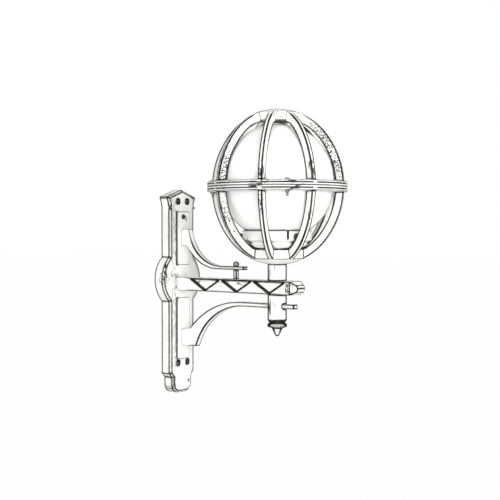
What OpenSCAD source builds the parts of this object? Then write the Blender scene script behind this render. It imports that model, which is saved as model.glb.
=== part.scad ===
// Outdoor wall lamp: a cast wall plate carries a boxed arm with two curved braces, and the
// arm carries a ball-shaped cage, in two halves, round an opal glass globe.
// +Z is up, the wall is the plane y = 0 and the lamp stands out towards -Y.
// The origin is the middle of the four wall holes.

/* [Wall plate] */
// Thickness of the wall plate
plate_t = 28; // [24:0.5:40]
// Distance between the upper and the lower wall holes
hole_rows = 380; // [340:1:460]
// Distance between the left and the right wall holes
hole_cols = 32; // [28:0.5:40]
// Diameter of the wall holes
hole_d = 12; // [8:0.5:14]
// Height of the gable tip above the upper wall holes
tip_rise = 28; // [26:0.5:40]
// Height of the gable, from its shoulders to its tip
gable_h = 20; // [8:0.5:24]
// Width across the shoulders
shoulder_w = 99; // [94:0.5:115]
// Width of the long body of the plate
body_w = 86; // [76:0.5:92]
// Height over which the shoulders run out into the body
flare_h = 26; // [15:0.5:40]
// Length of the plate below the lower wall holes
tail_len = 71; // [60:0.5:90]
// Length of the narrow tongue at the lower end
tongue_len = 38; // [30:0.5:44]
// Width of the tongue
tongue_w = 68; // [58:0.5:74]
// Width of the bevel round the front edge
plate_bevel = 4.7; // [2:0.1:6]
// Diameter of the round boss behind the arm
boss_d = 134; // [120:1:150]
// Height of the boss centre above the arm's axis
boss_rise = 11; // [4:0.5:16]
// Diameter of the wiring recess in the back
recess_d = 96; // [84:1:104]
// Depth of the wiring recess
recess_h = 19; // [16:0.5:20]
// Width of the raised centre panel
panel_w = 44; // [30:0.5:50]
// Height of the raised centre panel above the plate
panel_t = 2; // [1:0.1:3]

/* [Arm] */
// Distance from the wall to the axis of the post
reach = 306; // [280:1:340]
// Depth of the arm's axis below the middle of the wall holes
arm_drop = 3; // [-10:0.5:20]
// Height of the arm
arm_h = 30; // [28:0.5:36]
// Width of the arm
arm_w = 42; // [40:0.5:50]
// Length of the straight arm in front of the post axis
arm_front = 48; // [40:0.5:60]
// Length of the blunt nose in front of that
nose_len = 18; // [10:0.5:24]
// Diameter of the wire duct in the arm
duct_d = 12; // [11:0.5:13]
// Pitch of the sunk triangles on the arm's sides
relief_pitch = 92; // [84:0.5:94]
// Number of sunk triangles on each side
relief_n = 3; // [1:1:3]
// Depth of the sunk triangles
relief_t = 4; // [1:0.1:5]
// Rim left above and below the triangles
relief_rim = 2.2; // [1:0.1:4]
// Distance from the plate to the first triangle
relief_start = 40; // [30:0.5:44]

/* [Braces] */
// Width of both braces
brace_w = 14; // [13:0.5:24]
// Thickness of the upper brace's straight end
upper_t = 8; // [6:0.5:10]
// Gap between the arm and the upper brace
upper_gap = 21; // [16:0.5:30]
// Radius of the upper brace's inside curve
upper_r = 98; // [85:1:105]
// Radius of the upper brace's outside curve
upper_out_r = 107; // [104:1:110]
// Length of the upper brace's straight end
upper_run = 67; // [50:0.5:70]
// Distance by which the outside curve starts nearer the wall than the inside one
upper_taper = 10; // [4:0.5:12]
// Thickness of the lower brace's straight end
lower_t = 10; // [8:0.5:12]
// Gap between the arm and the lower brace
lower_gap = 21; // [17:0.5:24]
// Radius of the lower brace's upper curve
lower_r = 200; // [190:1:215]
// Radius of the lower brace's under curve
lower_in_r = 147; // [140:1:152]
// Distance from the post axis to the start of the lower brace's curve
lower_run = 100; // [90:0.5:105]
// Distance by which the under curve starts nearer the post than the upper one
lower_taper = 8; // [4:0.5:12]
// Length of the lower brace in front of the post axis
lower_front = 50; // [40:0.5:60]
// Height of the upper brace's foot
upper_foot_h = 38; // [34:0.5:44]
// Height of the lower brace's foot
lower_foot_h = 36; // [34:0.5:44]
// Height by which the lower brace drops from its straight end to the bottom of its foot
lower_drop = 99; // [90:0.5:104]
// Side of the square pillar under the upper brace
pillar_w = 9; // [8:0.5:12]
// Distance from the wall to the pillar
pillar_y = 190; // [182:0.5:196]
// Length of the upper brace in front of the pillar
upper_front = 27; // [20:0.5:32]
// Diameter of the ball nut on the pillar
ball_d = 14; // [12:0.5:18]

/* [Post] */
// Diameter of the post
post_d = 42.4; // [40:0.1:48]
// Wall of the post tubes
post_wall = 4; // [3:0.1:5]
// Length of the neck between the arm and the cage
neck_len = 37.5; // [30:0.5:60]
// Length of the post below the arm
post_len = 57; // [50:0.5:80]
// Outer diameter of the hollow threaded stem
stem_d = 13; // [12:0.1:14]
// Bore of the stem
stem_bore = 9; // [8.6:0.1:9.4]
// Diameter of the tie rod below the stem
rod_d = 8; // [6:0.5:9]
// Diameter of the bead on the finial
bead_d = 44; // [43:0.5:50]
// Length of the finial below the post
finial_len = 36; // [34:0.5:50]

/* [Globe] */
// Diameter of the glass globe
globe_d = 254; // [244:1:270]
// Thickness of the glass
glass_t = 4; // [3:0.1:5]
// Height of the globe's centre above the cage's joint
globe_rise = 11; // [6:0.5:14]
// Outer diameter of the globe's neck
neck_glass_d = 128; // [124:0.5:132]
// Width of the lip round the foot of the neck
lip_w = 6; // [4:0.5:7]

/* [Cage] */
// Number of ribs
rib_n = 8; // [6:2:8]
// Gap between the globe and the ribs at the joint
cage_gap = 3.5; // [2.5:0.1:6]
// Depth of a rib
rib_depth = 18.5; // [16:0.5:22]
// Height of the cage beyond its half width
cage_rise = 21; // [16:0.5:26]
// Distance by which the centre of a rib's side curve lies beyond the post axis
side_shift = 40; // [34:1:60]
// Width of a rib's outer face
rib_out_w = 9; // [7:0.1:12]
// Width of a rib's inner face
rib_in_w = 15; // [13:0.1:18]
// Width by which the joint ring stands out beyond the ribs
ring_out = 5; // [3:0.1:8]
// Height of each of the two joint rings
ring_h = 11; // [9:0.1:14]
// Width of the grooves round the rings
groove_w = 1.6; // [1:0.1:2.4]
// Depth of the grooves round the rings
groove_t = 2; // [1:0.1:3]
// Radius of the crown
crown_r = 48; // [40:0.5:56]
// Gap between the globe and the crown
crown_gap = 6; // [4:0.5:8]
// Radius of the hub at the bottom of the cage
hub_r = 60; // [56:0.5:64]
// Diameter of the joint bolts
bolt_d = 6; // [5:0.5:8]
// Length of the joint bolts below the lower ring
bolt_tail = 13; // [8:0.5:20]

/* [Gallery] */
// Outer diameter of the gallery that holds the globe
gallery_d = 152; // [150:0.5:158]
// Wall of the gallery
gallery_wall = 3; // [2.5:0.1:4]
// Height of the gallery's rim
gallery_h = 22; // [20:0.5:26]
// Width of the shelf that carries the globe's lip
shelf_w = 11; // [9:0.5:12]
// Height of the well below the gallery's rim wall
well_h = 19; // [17:0.5:22]
// Width of the slit in the rim
slit_w = 1.6; // [1:0.1:3]
// Depth of the thumb screws below the rim
thumb_drop = 12; // [10.5:0.5:12.5]
// Diameter of the thumb screws
thumb_d = 5; // [4:0.5:6]
// Diameter of the thumb screws' knurled heads
thumb_head_d = 12; // [10:0.5:12]
// Length of the thumb screws' heads
thumb_head_t = 5; // [4:0.5:5.5]
// Bearing of the first thumb screw, seen from above
thumb_angle = -112; // [-120:1:-104]
// Bearing of the slit in the rim, seen from above
slit_angle = -126; // [-135:1:-122]

/* [Lampholder and bulb] */
// Outer diameter of the porcelain lampholder
holder_d = 42; // [38:0.5:50]
// Height of the lampholder
holder_h = 50; // [46:0.5:56]
// Outer diameter of the bulb's screw cap
cap_d = 26; // [25.5:0.1:26.4]
// Diameter of the bulb
bulb_d = 60; // [50:1:70]
// Length of the bulb, from its contact to its top
bulb_len = 105; // [98:1:112]
// Diameter of the insulated wires
wire_d = 2.2; // [1.6:0.1:2.4]

/* [Hidden] */
$fn = 96;

paint = "gainsboro";
steel = "silver";
brass = "goldenrod";

// Running clearance of a screw or cap in a piece that it moves in
run_fit = 0.06;
// Clearance of a fastener in a plain hole
hole_fit = 0.3;
// Gap between two bodies that bear on each other
seat_gap = 0.3;
// Overlap that lets a cut pass a face
over = 1;

plate_front = -plate_t;
// The braces' feet stand on the raised panel
foot_y = plate_front - panel_t;
tip_z = hole_rows / 2 + tip_rise;
foot_z = -hole_rows / 2 - tail_len;
arm_z = -arm_drop;
arm_top = arm_z + arm_h / 2;
arm_base = arm_z - arm_h / 2;
boss_z = arm_z + boss_rise;
post_y = -reach;
post_r = post_d / 2;
stem_r = stem_d / 2;

globe_r = globe_d / 2;
cage_out = globe_r + cage_gap + rib_depth;
cage_out_h = cage_out + cage_rise;
// The cage's outline is two arcs that meet smoothly: a wide one at the side, whose centre is
// side_shift beyond the axis, and a tighter one at the end, whose centre is end_shift up
end_shift = cage_rise * (2 * side_shift - cage_rise) / (2 * (side_shift - cage_rise));
side_r = cage_out + side_shift;
end_r = cage_out_h - end_shift;
arcs_meet = atan2(end_shift, side_shift);
// Height of the cage's outside at distance r from the axis, near its ends
function cage_height(r) = end_shift + sqrt(end_r * end_r - r * r);
// Depth of the cage's flat foot, where the neck bears on it
cage_foot = cage_height(post_r + 1);
joint_z = arm_top + neck_len + cage_foot;
ring_r = cage_out + ring_out;
ring_in = globe_r + cage_gap - 0.5;
bolt_pcr = (ring_r + ring_in) / 2;
bolt_angle = 45;
crown_z = joint_z + globe_rise + globe_r + crown_gap;
globe_z = joint_z + globe_rise;

gallery_r = gallery_d / 2;
gallery_in = gallery_r - gallery_wall;
rim_gap = 3;
rim_z = globe_z - sqrt(pow(globe_r, 2) - pow(gallery_in - rim_gap, 2));
shelf_z = rim_z - gallery_h + 1;
seat_t = 2;
well_r = gallery_in - shelf_w;
well_wall = 6;
// Width of the slant round the gallery's foot
foot_slant = 16;
floor_t = 4;
gallery_base = rim_z - gallery_h - well_h;
floor_z = gallery_base + floor_t;

nut_h = 6;
holder_z = floor_z + nut_h + 4;
holder_top = holder_z + holder_h;
cap_r = cap_d / 2;
shell_t = 0.9;
contact_z = holder_top - 28;
bulb_z = contact_z + 3 + seat_gap;
wire_r = wire_d / 2;
wire_x = 2.3;
wire_bend = 5;

upper_z = arm_top + upper_gap;
lower_z = arm_base - lower_gap;
upper_y = -pillar_y - upper_front;
upper_bend_y = upper_y + upper_run;
lower_bend_y = post_y + lower_run;
screw_r = 3;
sink_r = 6;
sink_left = 11;
// Depth to which the screws reach into the braces' feet, and the hole left beyond their ends
upper_grip = 8;
lower_grip = 12;
screw_end = 4;

function mirrored(p) = [for (i = [len(p) - 1:-1:0]) [-p[i][0], p[i][1]]];

// Slab h high from an outline that runs anticlockwise, with a bevel d wide round its top.
// Each edge of the upper layer is planed off by itself, and where two meet at an outer corner
// the cuts cross. The planes start a hair inside the lower layer, so they meet it cleanly.
module bevelled(p, h, d) {
    n = len(p);
    ledge = 0.05;
    linear_extrude(h - d) polygon(p);
    difference() {
        translate([0, 0, h - d]) linear_extrude(d) polygon(p);
        for (i = [0:n - 1]) {
            a = p[i];
            run = p[(i + 1) % n] - a;
            next = p[(i + 2) % n] - p[(i + 1) % n];
            last = a - p[(i + n - 1) % n];
            past = 1 + d * max(0, tan(turn(run, next) / 2));
            before = 1 + d * max(0, tan(turn(last, run) / 2));
            translate([a[0], a[1], h]) rotate(atan2(run[1], run[0])) translate([-before, ledge, 0])
                rotate([90, 0, 90]) linear_extrude(before + norm(run) + past)
                    polygon([[d + 2, 2], [-2, -d - 2], [-2, 2]]);
        }
    }
}

// Angle by which an anticlockwise outline turns left from u to v
function turn(u, v) = atan2(u[0] * v[1] - u[1] * v[0], u * v);

// Turns a shape drawn upright on the floor so that it stands out from the wall at depth y
module on_wall(y) translate([0, y, 0]) rotate([90, 0, 0]) children();

module at_post(z) translate([0, post_y, z]) children();

// Screw along +Z from its tip at the origin, with a round head on top
module round_screw(r, length, head_r, head_h) {
    cylinder(r = r, h = length);
    translate([0, 0, length]) difference() {
        cylinder(r1 = head_r, r2 = head_r * 0.8, h = head_h, $fn = 48);
        translate([-head_r, -0.6, head_h * 0.6]) cube([2 * head_r, 1.2, head_h]);
    }
}

module hex_nut(flats, h, bore_r) difference() {
    cylinder(r = flats / sqrt(3), h = h, $fn = 6);
    translate([0, 0, -over]) cylinder(r = bore_r, h = h + 2 * over);
}

// Right half of the tongue's outline. Its top lies inside the body.
neck_z = foot_z + tongue_len;
tongue_half = let (t = tongue_w / 2, round_r = 22) [
    for (a = [-90:15:0]) [t - round_r, foot_z + round_r] + round_r * [cos(a), sin(a)],
    [t, neck_z + 20]];

// Right half of the body's outline, up to the gable. The slant at its foot runs on into the tongue.
body_half = let (b = body_w / 2, s = shoulder_w / 2, t = tongue_w / 2, gable = tip_z - gable_h) [
    [2 * t - b, neck_z - 9], [b, neck_z + 9],
    for (k = [0:4]) [b + (s - b) * pow(k / 4, 2), gable - flare_h * (1 - k / 4)],
    [s, gable + 3]];

module panel(z_low, z_high) translate([-panel_w / 2, z_low, plate_t - 2])
    cube([panel_w, z_high - z_low, panel_t + 2]);

module wall_plate() color(paint) difference() {
    on_wall(0) union() {
        bevelled(concat(tongue_half, mirrored(tongue_half)), plate_t, plate_bevel);
        bevelled(concat(body_half, [[0, tip_z]], mirrored(body_half)), plate_t, plate_bevel);
        translate([0, boss_z, 0]) {
            cylinder(d = boss_d, h = plate_t - plate_bevel);
            translate([0, 0, plate_t - plate_bevel])
                cylinder(d1 = boss_d, d2 = boss_d - 2 * plate_bevel, h = plate_bevel);
        }
        panel(boss_z + boss_d / 4, hole_rows / 2 - hole_d / 2 - 18);
        panel(-hole_rows / 2 + hole_d / 2 + 4, boss_z - boss_d / 3);
    }
    for (x = [-1, 1], z = [-1, 1]) translate([x * hole_cols / 2, over, z * hole_rows / 2])
        rotate([90, 0, 0]) cylinder(d = hole_d, h = plate_t + panel_t + 2 * over);
    translate([0, over, boss_z]) rotate([90, 0, 0]) cylinder(d = recess_d, h = recess_h + over);
    translate([0, over, arm_z]) rotate([90, 0, 0]) cylinder(d = duct_d, h = plate_t + 2 * over);
    for (p = arm_screw_at) rear_hole(p[0], p[1], recess_h);
    for (z = upper_screw_z) rear_hole(0, z, plate_t - sink_left);
    for (z = lower_screw_z) rear_hole(0, z, plate_t - sink_left);
    translate([0, over - recess_h, block_z]) rotate([90, 0, 0]) cylinder(r = 1.6, h = 5 + over);
    translate([0, plate_front - panel_t - over, earth_z]) rotate([-90, 0, 0])
        cylinder(r = earth_r + run_fit, h = earth_len + 2 + over);
}

// Where the screws that hold the arm, the braces and the terminals go
arm_screw_at = [for (x = [-1, 1]) [x * (duct_d / 2 + arm_w / 2) / 2, arm_z]];
upper_foot_top = upper_z + upper_t + upper_r - 14;
upper_foot_z = upper_foot_top - upper_foot_h;
upper_screw_z = [upper_foot_z + upper_foot_h / 4, upper_foot_top - upper_foot_h / 4];
lower_foot_z = lower_z - lower_t - lower_drop;
lower_top_angle = acos(1 - (lower_z - lower_foot_z - lower_foot_h - 6) / lower_r);
lower_screw_z = [lower_foot_z + lower_foot_h / 4, lower_foot_z + lower_foot_h * 3 / 4];
earth_z = hole_rows / 2 - hole_d / 2 - 30;
block_z = boss_z + 17;

// Hole for a screw whose head is sunk into the back of the plate
module rear_hole(x, z, sink) translate([x, over, z]) rotate([90, 0, 0]) {
    cylinder(r = screw_r + hole_fit, h = plate_t + panel_t + 2 * over);
    cylinder(r = sink_r, h = sink + over);
}

// Screw put in from the back of the plate: its head bears where the sink ends
module rear_screw(x, z, sink, grip) translate([x, -sink - grip, z]) rotate([-90, 0, 0])
    round_screw(screw_r, grip, sink_r - 1, 4);

// The arm's side view and plan, whose common volume has the blunt nose
arm_tip_y = post_y - arm_front - nose_len;
module arm_solid() intersection() {
    translate([-arm_w / 2, 0, 0]) rotate([90, 0, 90]) linear_extrude(arm_w) polygon([
        [plate_front, arm_base], [plate_front, arm_top],
        [post_y - arm_front, arm_top], [arm_tip_y + 4, arm_z + arm_h * 0.22],
        [arm_tip_y, arm_z], [arm_tip_y + 4, arm_z - arm_h * 0.3],
        [post_y - arm_front, arm_base]]);
    translate([0, 0, arm_base]) linear_extrude(arm_h) polygon([
        [-arm_w / 2, plate_front], [-arm_w / 2, post_y - arm_front],
        [-arm_w * 0.3, arm_tip_y], [arm_w * 0.3, arm_tip_y],
        [arm_w / 2, post_y - arm_front], [arm_w / 2, plate_front]]);
}

// One triangle, point down, to be sunk into the arm's side
module sunk_triangle(y) translate([0, y, 0]) rotate([90, 0, 90]) linear_extrude(relief_t + over)
    polygon([[-relief_pitch + 3, arm_top - relief_rim], [-3, arm_top - relief_rim],
        [-relief_pitch / 2, arm_base + relief_rim]]);

module arm() color(paint) difference() {
    arm_solid();
    for (k = [0:relief_n - 1]) {
        y = plate_front - relief_start - k * relief_pitch;
        translate([arm_w / 2 - relief_t, 0, 0]) sunk_triangle(y);
        translate([-arm_w / 2 - over, 0, 0]) sunk_triangle(y);
    }
    translate([0, plate_front + over, arm_z]) rotate([90, 0, 0])
        cylinder(d = duct_d, h = reach - plate_t + over);
    at_post(arm_base - over) cylinder(r = stem_r + run_fit, h = arm_h + 2 * over);
    for (p = arm_screw_at) translate([p[0], plate_front + over, p[1]]) rotate([90, 0, 0])
        cylinder(r = screw_r, h = 22 + over);
    translate([0, -pillar_y, arm_top - spigot_len - 1]) cylinder(r = spigot_r, h = spigot_len + 1 + over);
}

module arm_screws() color(steel) for (p = arm_screw_at)
    rear_screw(p[0], p[1], recess_h, plate_t - recess_h + 20);

// Points on an arc about a centre in the side view, between two angles from straight down
function arc(y, z, r, from, to) = [for (k = [0:brace_steps])
    let (a = from + (to - from) * k / brace_steps) [y + r * sin(a), z - r * cos(a)]];
brace_steps = 20;

module side_bar(outline) translate([-brace_w / 2, 0, 0]) rotate([90, 0, 90])
    linear_extrude(brace_w) polygon(outline);

module upper_brace() color(paint) difference() {
    side_bar(concat([[upper_y, upper_z + upper_t], [upper_y, upper_z]],
        arc(upper_bend_y + upper_taper, upper_z + upper_out_r, upper_out_r, 0,
            acos(1 - (upper_foot_z - upper_z) / upper_out_r)),
        [[foot_y, upper_foot_z], [foot_y, upper_foot_top]],
        arc(upper_bend_y, upper_z + upper_t + upper_r, upper_r,
            acos(1 - (upper_foot_top - upper_z - upper_t) / upper_r), 0)));
    translate([0, -pillar_y, upper_z - over])
        cylinder(r = spigot_r + hole_fit, h = upper_t + 2 * over);
    for (z = upper_screw_z) translate([0, foot_y + over, z]) rotate([90, 0, 0])
        cylinder(r = screw_r, h = upper_grip + screw_end + over);
}

module upper_brace_screws() color(steel) for (z = upper_screw_z)
    rear_screw(0, z, plate_t - sink_left, sink_left + panel_t + upper_grip);

// Round ends of the pillar: one sits in the arm, the other goes through the brace into its nut
spigot_r = 3;
spigot_len = 7;
nut_grip = 4;
module brace_pillar() color(paint) translate([0, -pillar_y, arm_top]) {
    translate([0, 0, -spigot_len]) cylinder(r = spigot_r, h = spigot_len);
    translate([-pillar_w / 2, -pillar_w / 2, 0]) cube([pillar_w, pillar_w, upper_gap]);
    translate([0, 0, upper_gap]) cylinder(r = spigot_r, h = upper_t + nut_grip);
}

module pillar_nut() color(paint) translate([0, -pillar_y, upper_z + upper_t])
    difference() {
        intersection() {
            translate([0, 0, ball_d * 0.3]) sphere(d = ball_d);
            cylinder(d = ball_d + over, h = ball_d);
        }
        translate([0, 0, -over]) cylinder(r = spigot_r, h = nut_grip + 0.5 + over);
    }

module lower_brace() color(paint) difference() {
    side_bar(concat([[post_y - lower_front, lower_z - lower_t], [post_y - lower_front, lower_z]],
        arc(lower_bend_y, lower_z - lower_r, lower_r, 180, 180 - lower_top_angle),
        [[foot_y, lower_foot_z + lower_foot_h], [foot_y, lower_foot_z]],
        arc(lower_bend_y - lower_taper, lower_z - lower_t - lower_in_r, lower_in_r,
            180 - acos(1 - (lower_z - lower_t - lower_foot_z) / lower_in_r), 180)));
    at_post(lower_z - lower_t - over) cylinder(r = rod_d / 2 + hole_fit, h = lower_t + 2 * over);
    for (z = lower_screw_z) translate([0, foot_y + over, z]) rotate([90, 0, 0])
        cylinder(r = screw_r, h = lower_grip + screw_end + over);
}

module lower_brace_screws() color(steel) for (z = lower_screw_z)
    rear_screw(0, z, plate_t - sink_left, sink_left + panel_t + lower_grip);

earth_r = 2.5;
earth_len = 14;
earth_washer_h = 1.2;
module earth_screw() color(brass) translate([0, plate_front - panel_t + earth_len, earth_z])
    rotate([90, 0, 0]) round_screw(earth_r, earth_len + earth_washer_h, 2 * earth_r, 3);

module earth_washer() color(brass) translate([0, plate_front - panel_t, earth_z])
    rotate([90, 0, 0]) difference() {
        cylinder(r = 6, h = earth_washer_h);
        translate([0, 0, -over]) cylinder(r = earth_r + hole_fit, h = earth_washer_h + 2 * over);
    }

// Porcelain terminal block on the floor of the recess: two poles with a clamp each
block_w = 34;
block_t = 13;
block_h = 14;
pole_x = 9;
module terminal_block() color("ivory") translate([0, -recess_h, block_z]) difference() {
    translate([-block_w / 2, 0, -block_h / 2]) cube([block_w, block_t, block_h]);
    translate([0, -over, 0]) rotate([-90, 0, 0]) cylinder(r = 1.8, h = block_t + 2 * over);
    translate([0, block_t - 4, 0]) rotate([-90, 0, 0]) cylinder(r = 3.4, h = 4 + over);
    for (x = [-pole_x, pole_x]) translate([x, 0, 0]) {
        translate([0, block_t / 2, -block_h / 2 - over]) cylinder(r = 2.6, h = block_h + 2 * over);
        for (z = [-4, 4]) translate([0, block_t / 2, z]) rotate([-90, 0, 0])
            cylinder(r = 1.8, h = block_t);
    }
}

module terminal_clamps() color(brass) translate([0, block_t / 2 - recess_h, block_z])
    for (x = [-pole_x, pole_x]) translate([x, 0, 0]) {
        difference() {
            translate([0, 0, -block_h / 2 + 1]) cylinder(r = 2.55, h = block_h - 2);
            translate([0, 0, -block_h / 2]) cylinder(r = wire_r + 0.3, h = block_h);
        }
        for (z = [-4, 4]) translate([0, 2.2, z]) rotate([-90, 0, 0]) cylinder(r = 1.7, h = 3);
    }

module terminal_fixing() color(steel) translate([0, -recess_h - 4.5, block_z])
    rotate([-90, 0, 0]) round_screw(1.5, 4.5 + block_t - 4, 3.2, 2.4);

function unit(v) = v / norm(v);

// Wire with eight sides that follows a list of points, whose turns stay in one plane or bend gently
module wire(p, r) {
    n = len(p);
    sides = 8;
    // Direction of the wire at each point, and the same sideways direction all along
    along = [for (i = [0:n - 1]) unit(
        (i > 0 ? unit(p[i] - p[i - 1]) : [0, 0, 0]) + (i < n - 1 ? unit(p[i + 1] - p[i]) : [0, 0, 0]))];
    side = [for (d = along) unit([1, 0, 0] - d[0] * d)];
    points = [for (i = [0:n - 1], k = [0:sides - 1]) let (a = 360 * k / sides)
        p[i] + r * (cos(a) * side[i] + sin(a) * cross(along[i], side[i]))];
    polyhedron(points, [[for (k = [0:sides - 1]) k],
        [for (k = [sides - 1:-1:0]) (n - 1) * sides + k],
        for (i = [0:n - 2], k = [0:sides - 1])
            let (a = i * sides + k, b = i * sides + (k + 1) % sides)
                each [[a, a + sides, b + sides], [a, b + sides, b]]]);
}

module wires() color("black") for (s = [-1, 1]) wire([
    [s * pole_x, block_t / 2 - recess_h, block_z - block_h / 2 + 2],
    [s * pole_x, block_t / 2 - recess_h, block_z - block_h / 2 - 6],
    [s * wire_x, block_t / 2 - recess_h - 2, arm_z + wire_bend],
    [s * wire_x, -recess_h - 3, arm_z],
    [s * wire_x, post_y + wire_bend * 0.6, arm_z],
    [s * wire_x, post_y, arm_z + wire_bend],
    [s * wire_x, post_y, contact_z - 1 - seat_gap]], wire_r);

// Post tube between two heights, with end walls that fit round a rod
module capped_tube(z_low, z_high, rod_r, low_wall, high_wall) at_post(z_low) {
    h = z_high - z_low;
    rotate_extrude() polygon([[rod_r, 0], [post_r, 0], [post_r, h], [rod_r, h],
        [rod_r, h - high_wall], [post_r - post_wall, h - high_wall],
        [post_r - post_wall, low_wall], [rod_r, low_wall]]);
}

module neck_tube() color(paint)
    capped_tube(arm_top, joint_z - cage_foot, stem_r + run_fit, 5, 5);

// Lower post: open below for the finial's spigot, with windows for the lower brace
module lower_post() color(paint) difference() {
    at_post(arm_base - post_len) rotate_extrude() polygon([
        [post_r - post_wall, 0], [post_r, 0], [post_r, post_len],
        [stem_r + hole_fit, post_len], [stem_r + hole_fit, post_len - 5],
        [post_r - post_wall, post_len - 5]]);
    translate([-brace_w / 2 - 0.1, post_y - post_r - over, lower_z - lower_t - 0.1])
        cube([brace_w + 0.2, 2 * post_r + 2 * over, lower_t + 0.2]);
}

stem_base = arm_base - 12;
stem_top = holder_z + 10;
module stem_tube() color(steel) difference() {
    at_post(stem_base) cylinder(r = stem_r, h = stem_top - stem_base);
    at_post(stem_base + 6) cylinder(d = stem_bore, h = stem_top - stem_base);
    at_post(arm_z) translate([-wire_x - wire_r - 0.6, 0, -4])
        cube([2 * (wire_x + wire_r + 0.6), stem_r + over, 9 + wire_bend / 2]);
}

module stem_nut() color(steel) at_post(floor_z) hex_nut(22, nut_h, stem_r);

// Long nut that draws the stem down and takes the tie rod
coupling_h = lower_gap - 5 - 1;
module coupling_nut() color(steel) at_post(arm_base - 5 - coupling_h) difference() {
    cylinder(r = 22 / sqrt(3), h = coupling_h, $fn = 6);
    translate([0, 0, coupling_h - 8]) cylinder(r = stem_r, h = 8 + over);
    translate([0, 0, -over]) cylinder(r = rod_d / 2, h = coupling_h);
}

rod_base = arm_base - post_len - 8;
module tie_rod() color(steel) at_post(rod_base)
    cylinder(d = rod_d, h = arm_base - 5 - coupling_h + 6 - rod_base);

module finial() color(paint) at_post(arm_base - post_len) difference() {
    rotate_extrude() polygon([[0, 5], [post_r - post_wall, 5], [post_r - post_wall, 0],
        [post_r, 0], [post_r - 4.4, -6],
        for (a = [75:-15:-60]) [bead_d / 2 - 5, -11] + 5 * [cos(a), sin(a)],
        [bead_d / 2 - 9.4, -17], [7.7, -finial_len + 9], [4.6, -finial_len + 2.5],
        [2.4, -finial_len + 0.5], [0, -finial_len]]);
    translate([0, 0, -9]) cylinder(d = rod_d, h = 20);
}

// One rib of half the cage: narrow outside, wide inside, bent to the two arcs of the outline
module rib_arc(r, from, to, grow) rotate([90, 0, 0]) rotate([0, 0, from])
    rotate_extrude(angle = to - from) let (a = r - rib_depth - grow, b = r + grow,
        in = rib_in_w / 2 + grow, out = rib_out_w / 2 + grow)
            polygon([[a, -in], [b, -out], [b, out], [a, in]]);

// The end arc is a hair bigger, so that the side arc runs into it
module rib(end_x) {
    translate([-side_shift, 0, 0]) rib_arc(side_r, asin(2 / side_r), arcs_meet + 0.5, 0);
    translate([0, 0, end_shift]) rib_arc(end_r, arcs_meet, acos(end_x / end_r), 0.06);
}

rib_turn = 180 / rib_n;
module ribs(end_x) for (k = [0:rib_n - 1]) rotate(rib_turn + k * 360 / rib_n) {
    rib(end_x);
    intersection() {
        translate([ring_in + 4, -rib_out_w / 2 - 1, 0])
            cube([ring_r, rib_out_w + 2, ring_h]);
        cylinder(r = ring_r - 0.2, h = ring_h);
    }
}

// Joint ring from its mating face up, with grooves round the outside
module joint_ring() difference() {
    rotate_extrude() polygon([[ring_in, 0], [ring_r - 0.8, 0], [ring_r, 0.8],
        [ring_r, ring_h - 1.5], [ring_r - 1.5, ring_h], [ring_in, ring_h]]);
    rotate_extrude() translate([ring_r - groove_t, ring_h / 2 - groove_w / 2])
        square([groove_t + over, groove_w]);
}

module bolt_places() for (k = [0:3]) rotate(bolt_angle + 90 * k) translate([bolt_pcr, 0, 0])
    children();

module half_cage(end_x) difference() {
    union() {
        joint_ring();
        ribs(end_x);
    }
    bolt_places() translate([0, 0, -over]) cylinder(r = bolt_d / 2 + hole_fit, h = ring_h + 2 * over);
}

// Height by which the crown and the hub stand proud of the ribs
proud = 0.5;
hub_top = joint_z - gallery_base;
module lower_cage() color(paint) difference() {
    at_post(joint_z) mirror([0, 0, 1]) {
        half_cage(hub_r - 8);
        intersection() {
            translate([0, 0, hub_top]) cylinder(r = hub_r, h = cage_foot - hub_top);
            translate([0, 0, end_shift]) sphere(r = end_r + proud);
        }
    }
    at_post(joint_z - cage_out_h) cylinder(r = stem_r + run_fit, h = cage_out_h);
}

module upper_cage() color(paint) at_post(joint_z + seat_gap) {
    half_cage(crown_r - 8);
    under = crown_z - joint_z - seat_gap;
    difference() {
        intersection() {
            translate([0, 0, under]) cylinder(r = crown_r, h = cage_out_h);
            translate([0, 0, end_shift]) sphere(r = end_r + proud);
        }
        // Small notch in the crown's edge, between two ribs
        rotate(-142) translate([6, 0, cage_out_h + 2]) rotate([0, 60, 0])
            linear_extrude(26) polygon([[3, 0], [-1.5, 2.6], [-1.5, -2.6]]);
    }
}

washer_h = 1.2;
module ring_bolts() color(steel) at_post(joint_z + seat_gap) bolt_places()
    translate([0, 0, -ring_h - bolt_tail - seat_gap]) {
        h = 2 * ring_h + bolt_tail + seat_gap + washer_h;
        cylinder(d = bolt_d, h = h);
        translate([0, 0, h]) intersection() {
            translate([0, 0, -bolt_d * 0.55]) sphere(r = bolt_d * 1.1);
            cylinder(r = bolt_d * 0.92, h = bolt_d);
        }
    }

module ring_washers() color(steel) at_post(joint_z + seat_gap + ring_h) bolt_places()
    difference() {
        cylinder(d = 2 * bolt_d, h = washer_h);
        translate([0, 0, -over]) cylinder(d = bolt_d, h = washer_h + 2 * over);
    }

module ring_nuts() color(steel) at_post(joint_z - ring_h - 5) bolt_places()
    hex_nut(bolt_d * 1.67, 5, bolt_d / 2 + run_fit);

thumb_z = rim_z - thumb_drop;
module thumb_places(k) at_post(thumb_z) rotate([0, 0, thumb_angle + 120 * k]) rotate([0, 90, 0])
    children();

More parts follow.
